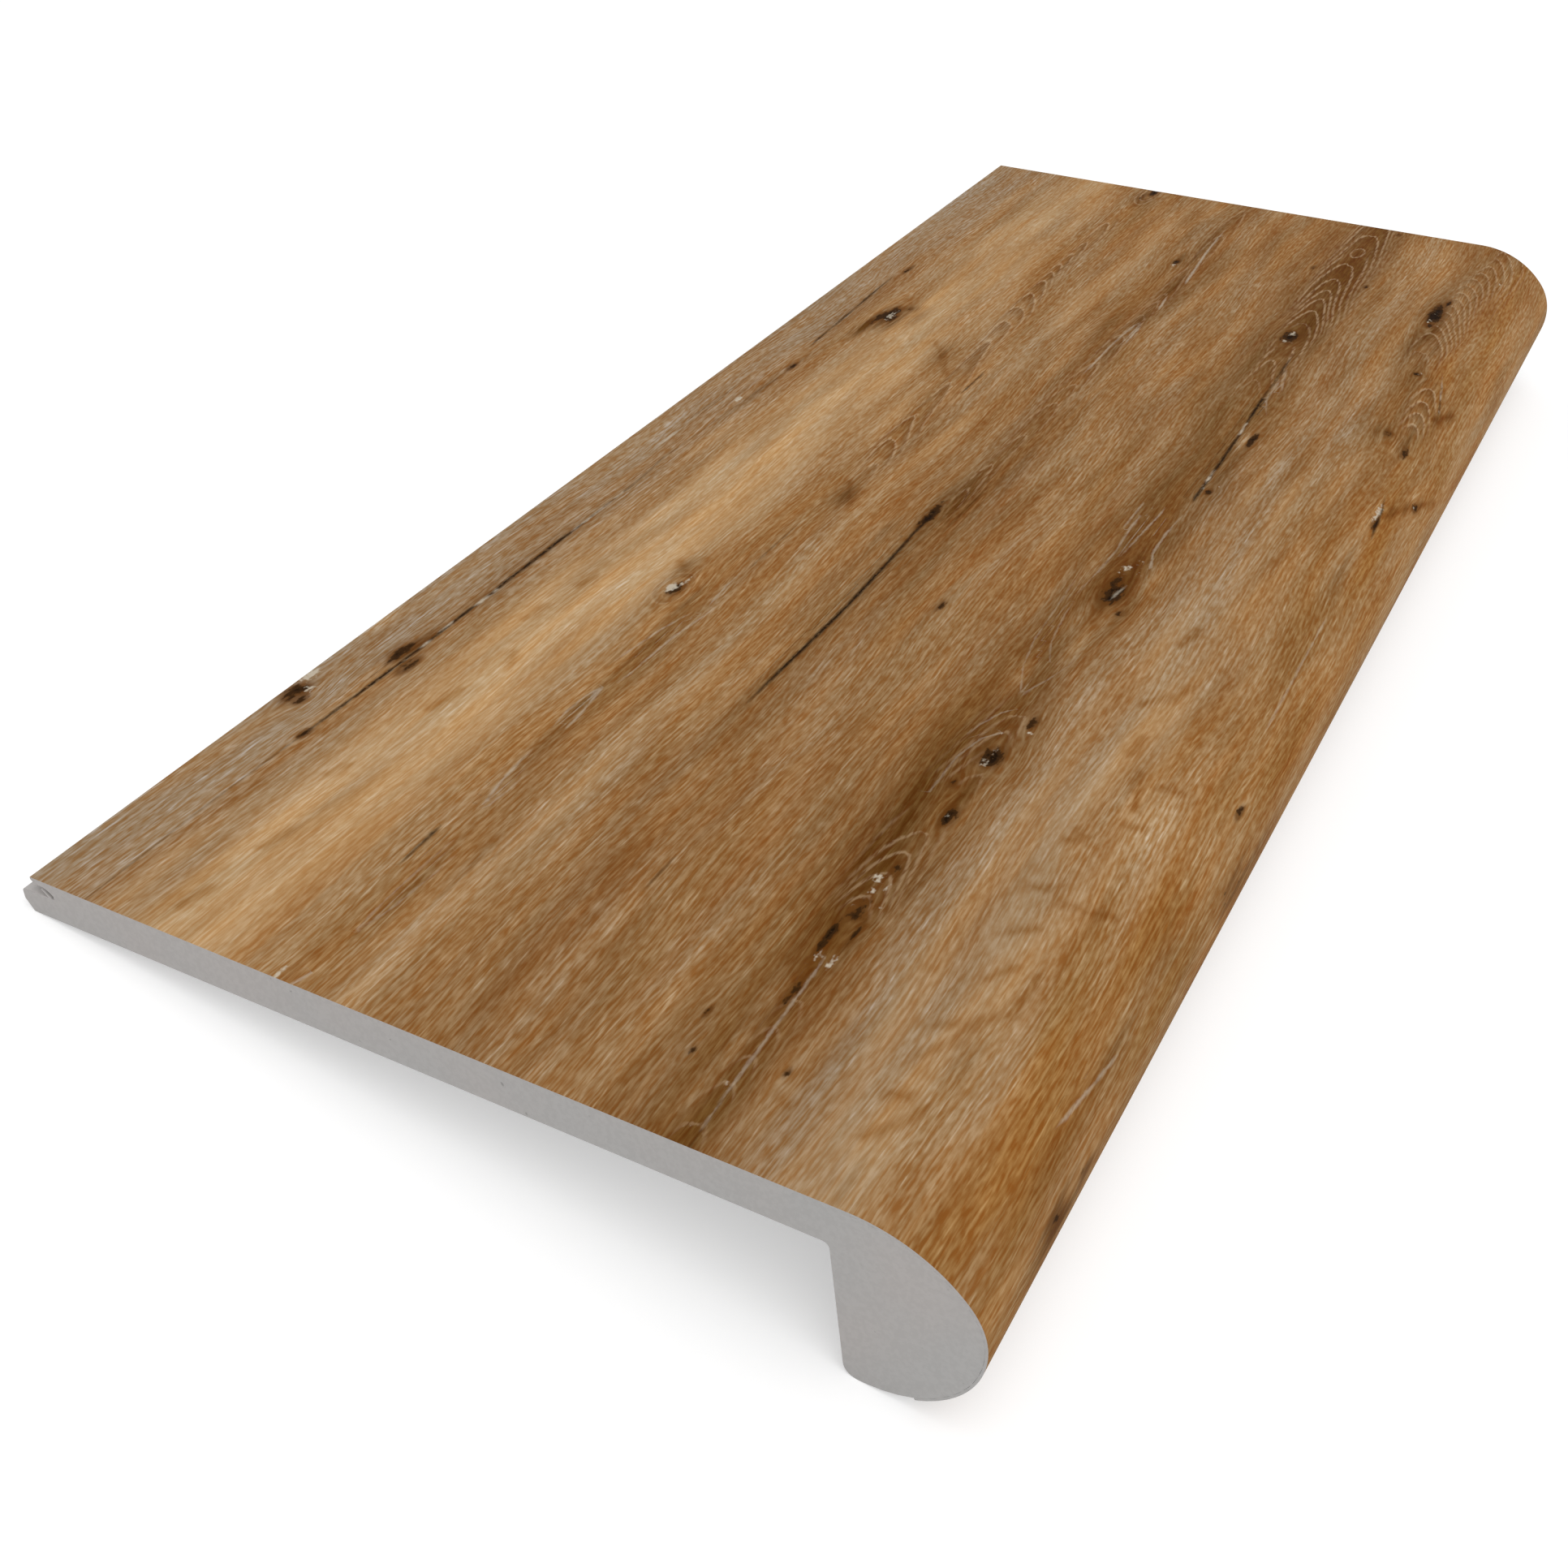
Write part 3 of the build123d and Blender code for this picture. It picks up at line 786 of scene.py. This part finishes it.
def oak_print():
    """Printed film: bands of tone, then patches and short limed strokes along the grain, cathedral
    arches, flecks, knots and cracks laid over each other, with a satin embossed surface."""
    film = Finish("brown_oak_print")
    grain = film.field("grain", "Vector")
    place = film.tree.nodes.new("ShaderNodeTexCoord").outputs["Object"]
    patch = film.speckle(grain, (0.014, 0.3, 1.0), (0.0, 0.0, 2.0), 3.0, 0.7)
    hue = film.speckle(grain, (0.03, 0.3, 1.0), (0.0, 0.0, 40.0), 2.0, 0.5)
    pore = film.speckle(grain, (0.5, 2.9, 1.0), (0.0, 0.0, 9.0), 1.0, 0.4)
    vessel = film.speckle(grain, (0.11, 3.1, 1.0), (0.0, 0.0, 14.0), 1.0, 0.4)
    streak = film.speckle(grain, (0.05, 1.1, 1.0), (0.0, 0.0, 61.0), 2.0, 0.5)
    dash = film.speckle(grain, (0.15, 3.0, 1.0), (0.0, 0.0, 51.0), 1.0, 0.5)
    ragged = film.speckle(place, (650.0, 1300.0, 1300.0), (0.0, 0.0, 21.0), 2.0, 0.6)
    crumb = film.speckle(place, (1500.0, 2100.0, 2100.0), (0.0, 0.0, 27.0), 1.0, 0.5)
    seam = film.speckle(grain, (0.4, 1.2, 1.0), (0.0, 0.0, 33.0), 2.0, 0.5)
    uneven = film.maths("SUBTRACT", ragged, 0.5)
    crumbled = film.maths("SUBTRACT", crumb, 0.5)
    calm = film.between(film.field("pale"), 0.05, 0.75, 1.0, 0.55)

    colour = film.blend(film.field("gold"), tint(OAK), tint(GOLD_OAK))
    colour = film.blend(film.field("pale"), colour, tint(PALE_OAK))
    colour = film.blend(film.field("grey"), colour, tint(GREY_OAK))
    colour = film.blend(film.field("dark"), colour, tint(DARK_OAK))
    shade = film.maths("MULTIPLY", film.field("shade"), film.between(streak, 0.3, 0.7, 0.48, 1.5))
    colour = film.blend(shade, colour, tint(SHADE_BROWN))
    colour = film.blend(film.field("glow"), colour, tint(PALE_OAK))
    deep_patch = film.maths("MULTIPLY", film.between(patch, 0.52, 0.3, 0.0, 0.5), calm)
    colour = film.blend(deep_patch, colour, DEEPEN, "MULTIPLY")
    light_patch = film.maths("MULTIPLY", film.between(patch, 0.48, 0.72, 0.0, 0.34), calm)
    colour = film.blend(light_patch, colour, LIGHTEN, "MULTIPLY")
    colour = film.blend(film.between(hue, 0.48, 0.65), colour, WARM, "MULTIPLY")
    colour = film.blend(film.between(hue, 0.52, 0.35), colour, COOL, "MULTIPLY")

    level = film.maths("MULTIPLY_ADD", uneven, 0.25, film.field("arch_level"))
    inside = film.maths("FRACT", level)
    gap = film.field("arch_gap")
    off_line = film.maths("MULTIPLY", film.maths("PINGPONG", level, 0.5), gap)
    shown = film.maths("MULTIPLY", film.field("arch_strength"), film.between(gap, 0.3, 0.9))
    arch_shade = film.maths("MULTIPLY", film.between(inside, 0.0, 1.0, 0.0, 0.55), shown)
    colour = film.blend(arch_shade, colour, tint(KNOT_BROWN))

    stroke = film.maths("MULTIPLY_ADD", crumbled, 0.1, film.maths("MULTIPLY", vessel, 0.45))
    stroke = film.maths("MULTIPLY_ADD", pore, 0.55, stroke)
    dark_stroke = film.maths("MULTIPLY", film.between(stroke, 0.53, 0.36, 0.0, 0.95), calm)
    colour = film.blend(dark_stroke, colour, DEEPEN, "MULTIPLY")
    light_stroke = film.maths("MULTIPLY", film.between(stroke, 0.48, 0.66, 0.0, 0.62), calm)
    colour = film.blend(light_stroke, colour, LIGHTEN, "MULTIPLY")
    limed = film.maths("MULTIPLY", film.between(dash, 0.58, 0.7, 0.0, 0.5), calm)
    colour = film.blend(limed, colour, LIGHTEN, "MULTIPLY")
    arch_line = film.maths("MULTIPLY", film.between(off_line, 0.06, 0.36, 0.55, 0.0), shown)
    arch_line = film.maths("MULTIPLY", arch_line, film.between(pore, 0.34, 0.56, 0.2, 1.0))
    colour = film.blend(arch_line, colour, tint(LIME_WHITE))

    fleck = film.maths("MULTIPLY", film.field("fleck"), film.between(streak, 0.3, 0.6, 0.7, 1.0))
    colour = film.blend(fleck, colour, FLECK, "MULTIPLY")

    knot = film.maths("MULTIPLY_ADD", uneven, 1.2, film.field("knot"))
    halo = film.maths("MULTIPLY_ADD", film.maths("SUBTRACT", streak, 0.5), 0.6, film.field("knot"))
    colour = film.blend(film.between(halo, 0.06, 0.45, 0.0, 0.7), colour, tint(KNOT_BROWN))
    colour = film.blend(film.between(knot, 0.38, 0.64, 0.0, 0.95), colour, tint(KNOT_DARK))
    black = film.between(knot, 0.7, 1.0)
    flecked = film.blend(film.between(crumb, 0.58, 0.8, 0.0, 0.3), tint(KNOT_BLACK), tint(OAK))
    colour = film.blend(black, colour, flecked)
    rubbed = film.maths("MULTIPLY_ADD", crumbled, 1.6, film.field("filler"))
    white = film.between(rubbed, 0.45, 1.0, 0.0, 0.85)
    white = film.maths("MULTIPLY", white, film.between(film.field("filler"), 0.05, 0.4))
    colour = film.blend(white, colour, tint(FILLER_WHITE))

    away = film.maths("ABSOLUTE", film.field("crack_offset"))
    away = film.maths("MULTIPLY_ADD", uneven, 0.6, away)
    deep = film.field("crack_depth")
    crack = film.between(away, -0.02, film.maths("MULTIPLY_ADD", deep, 0.4, 0.16), 1.0, 0.0)
    broken = film.maths("MULTIPLY", deep, film.between(ragged, 0.3, 0.45, 0.6, 1.0))
    crack = film.maths("MULTIPLY", crack, broken)
    seamed = film.maths("SUBTRACT", seam, 0.5)
    filled = film.maths("MULTIPLY_ADD", seamed, 1.4, film.field("crack_filled"))
    crack_colour = film.blend(film.between(filled, 0.5, 1.0), tint(KNOT_BLACK), tint(FILLER_WHITE))
    colour = film.blend(crack, colour, crack_colour)

    film.feed(film.shader.inputs["Base Color"], colour)
    film.feed(film.shader.inputs["Roughness"], film.between(stroke, 0.3, 0.7, 0.52, 0.68))
    film.shader.inputs["Specular IOR Level"].default_value = FILM_SHINE
    sunk = film.maths("MULTIPLY", film.maths("MAXIMUM", crack, black), 0.4)
    film.relief(film.maths("SUBTRACT", stroke, sunk), EMBOSS_DEPTH)
    return film.material


def sawn_core():
    """Stone-filled vinyl, sawn: faintly clouded grey with a fine speckle and a few small pits, sunk in
    the bump and darkened as painted shade.
    """
    core = Finish("sawn_grey_core")
    place = core.tree.nodes.new("ShaderNodeTexCoord").outputs["Object"]
    cloud = core.speckle(place, (45.0, 45.0, 45.0))
    dust = core.speckle(place, (1900.0, 1900.0, 1900.0), (5.0, 0.0, 0.0), 1.0, 0.6)
    pit = core.speckle(place, (900.0, 900.0, 900.0), (0.0, 9.0, 0.0), 1.0, 0.5)
    colour = core.blend(core.between(cloud, 0.35, 0.65), tint(CORE_GREY), tint(CORE_COOL_GREY))
    colour = core.blend(core.between(dust, 0.35, 0.65, 0.0, 0.045), colour, tint(KNOT_BLACK))
    # The pits are sunk in the bump and darkened towards black: painted shade in them.
    pits = core.between(pit, 0.75, 0.8, 0.0, 0.3)
    colour = core.blend(pits, colour, tint(KNOT_BLACK))
    core.feed(core.shader.inputs["Base Color"], colour)
    core.feed(core.shader.inputs["Roughness"], core.between(dust, 0.3, 0.7, 0.62, 0.8))
    core.shader.inputs["Specular IOR Level"].default_value = CORE_SHINE
    core.relief(core.maths("SUBTRACT", core.maths("MULTIPLY", dust, 0.3), pits), SAW_DEPTH)
    return core.material


# Stage, in metres

# White floor: half its side, its white, its own light by the part and far out, and from where to where
# that rises
FLOOR_HALF = 3.0
FLOOR_WHITE = (0.7, 0.7, 0.7, 1.0)
GLOW_NEAR, GLOW_FAR = 0.42, 0.75
GLOW_FROM, GLOW_TO = 0.5, 1.5

# Light all round, as it falls on things and as it is seen, and the soft lamp overhead
WHITE = (1.0, 1.0, 1.0, 1.0)
SKY_LIGHT, SKY_SEEN = 0.6, 1.0
LAMP_SIZE = 1.2
LAMP_POWER = 8.0
LAMP_PLACE = (-0.35, -0.3, 1.2)


def plain_floor():
    """White square sheet that keeps the shadow: plain diffuse, with a little light of its own for the
    camera, eased up with the distance, because the lamp doesn't reach far out."""
    half = FLOOR_HALF
    mesh = bpy.data.meshes.new("floor")
    corners = [(-half, -half, 0.0), (half, -half, 0.0), (half, half, 0.0), (-half, half, 0.0)]
    mesh.from_pydata(corners, [], [(0, 1, 2, 3)])
    floor = bpy.data.objects.new("floor", mesh)
    bpy.context.collection.objects.link(floor)
    sheet = Finish("white_sheet")
    sheet.shader.inputs["Base Color"].default_value = FLOOR_WHITE
    sheet.shader.inputs["Roughness"].default_value = 1.0
    sheet.shader.inputs["Specular IOR Level"].default_value = 0.0
    sheet.shader.inputs["Emission Color"].default_value = WHITE
    rays = sheet.tree.nodes.new("ShaderNodeLightPath").outputs
    seen = sheet.maths("MAXIMUM", rays["Is Camera Ray"], rays["Is Glossy Ray"])
    seen = sheet.maths("MAXIMUM", seen, rays["Is Transmission Ray"])
    distance = sheet.tree.nodes.new("ShaderNodeVectorMath")
    distance.operation = "LENGTH"
    sheet.feed(distance.inputs[0], sheet.tree.nodes.new("ShaderNodeTexCoord").outputs["Object"])
    glow = sheet.between(distance.outputs["Value"], GLOW_FROM, GLOW_TO, GLOW_NEAR, GLOW_FAR)
    sheet.feed(sheet.shader.inputs["Emission Strength"], sheet.maths("MULTIPLY", seen, glow))
    mesh.materials.append(sheet.material)


def studio_light():
    """White all round, at full strength only where it is seen, and one broad soft lamp overhead."""
    world = bpy.data.worlds.new("white_studio")
    bpy.context.scene.world = world
    world.use_nodes = True
    nodes, links = world.node_tree.nodes, world.node_tree.links
    sky = nodes["Background"]
    sky.inputs["Color"].default_value = WHITE
    rays = nodes.new("ShaderNodeLightPath").outputs
    seen = rays["Is Camera Ray"]
    for kind in ("Is Glossy Ray", "Is Transmission Ray"):
        either = nodes.new("ShaderNodeMath")
        either.operation = "MAXIMUM"
        links.new(seen, either.inputs[0])
        links.new(rays[kind], either.inputs[1])
        seen = either.outputs[0]
    strength = nodes.new("ShaderNodeMapRange")
    links.new(seen, strength.inputs["Value"])
    strength.inputs["To Min"].default_value = SKY_LIGHT
    strength.inputs["To Max"].default_value = SKY_SEEN
    links.new(strength.outputs[0], sky.inputs["Strength"])

    lamp = bpy.data.lights.new("overhead", "AREA")
    lamp.shape = "SQUARE"
    lamp.size = LAMP_SIZE
    lamp.energy = LAMP_POWER
    hung = bpy.data.objects.new("overhead", lamp)
    hung.location = LAMP_PLACE
    hung.rotation_euler = (-hung.location).to_track_quat("-Z", "Y").to_euler()
    bpy.context.collection.objects.link(hung)


# Where the photograph was taken from: millimetres out from the near end of the tread's back edge,
# then turned and tipped down, all with the tread held level
CAMERA_OUT = (-100.26, -146.45, 127.96)
CAMERA_HEADING = radians(28.225)
CAMERA_TIP = radians(36.234)
LENS = 43.03
SENSOR = 36.0
CLIP_NEAR, CLIP_FAR = 0.005, 20.0


def photo_camera():
    """Camera placed in the level section's frame, then leaned back with the nosing."""
    data = bpy.data.cameras.new("photo")
    data.lens = LENS
    data.sensor_width = SENSOR
    data.clip_start, data.clip_end = CLIP_NEAR, CLIP_FAR
    camera = bpy.data.objects.new("photo", data)
    bpy.context.collection.objects.link(camera)
    low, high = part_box("decor_film")
    across, up, _ = film_profile(np.array([0.0, FILM_RUN]))
    _, rise = lean_back(across, up)
    corner = Vector((-LENGTH / 2 * MM, high.y, low.z + (rise[0] - rise[1]) * MM))
    out_y, out_z = lean_back(CAMERA_OUT[1], CAMERA_OUT[2])
    place = corner + Vector((CAMERA_OUT[0], out_y, out_z)) * MM
    aim = Euler((pi / 2 - CAMERA_TIP, 0.0, CAMERA_HEADING - pi / 2)).to_matrix()
    turned = Matrix.Rotation(-LEAN, 3, "X") @ aim
    camera.matrix_world = Matrix.LocRotScale(place, turned, None)
    bpy.context.scene.camera = camera


core_finish = sawn_core()
core_node = frame["nodes"]["core"]
core_node.data.materials.clear()
core_node.data.materials.append(core_finish)

film = bpy.data.objects.new("film_over_tread_and_nose", film_mesh())
bpy.context.collection.objects.link(film)
film.data.materials.append(oak_print())
film.data.materials.append(core_finish)
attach(film, "root")
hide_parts("decor_film")

plain_floor()
studio_light()
photo_camera()
bpy.context.scene.view_settings.view_transform = "Standard"
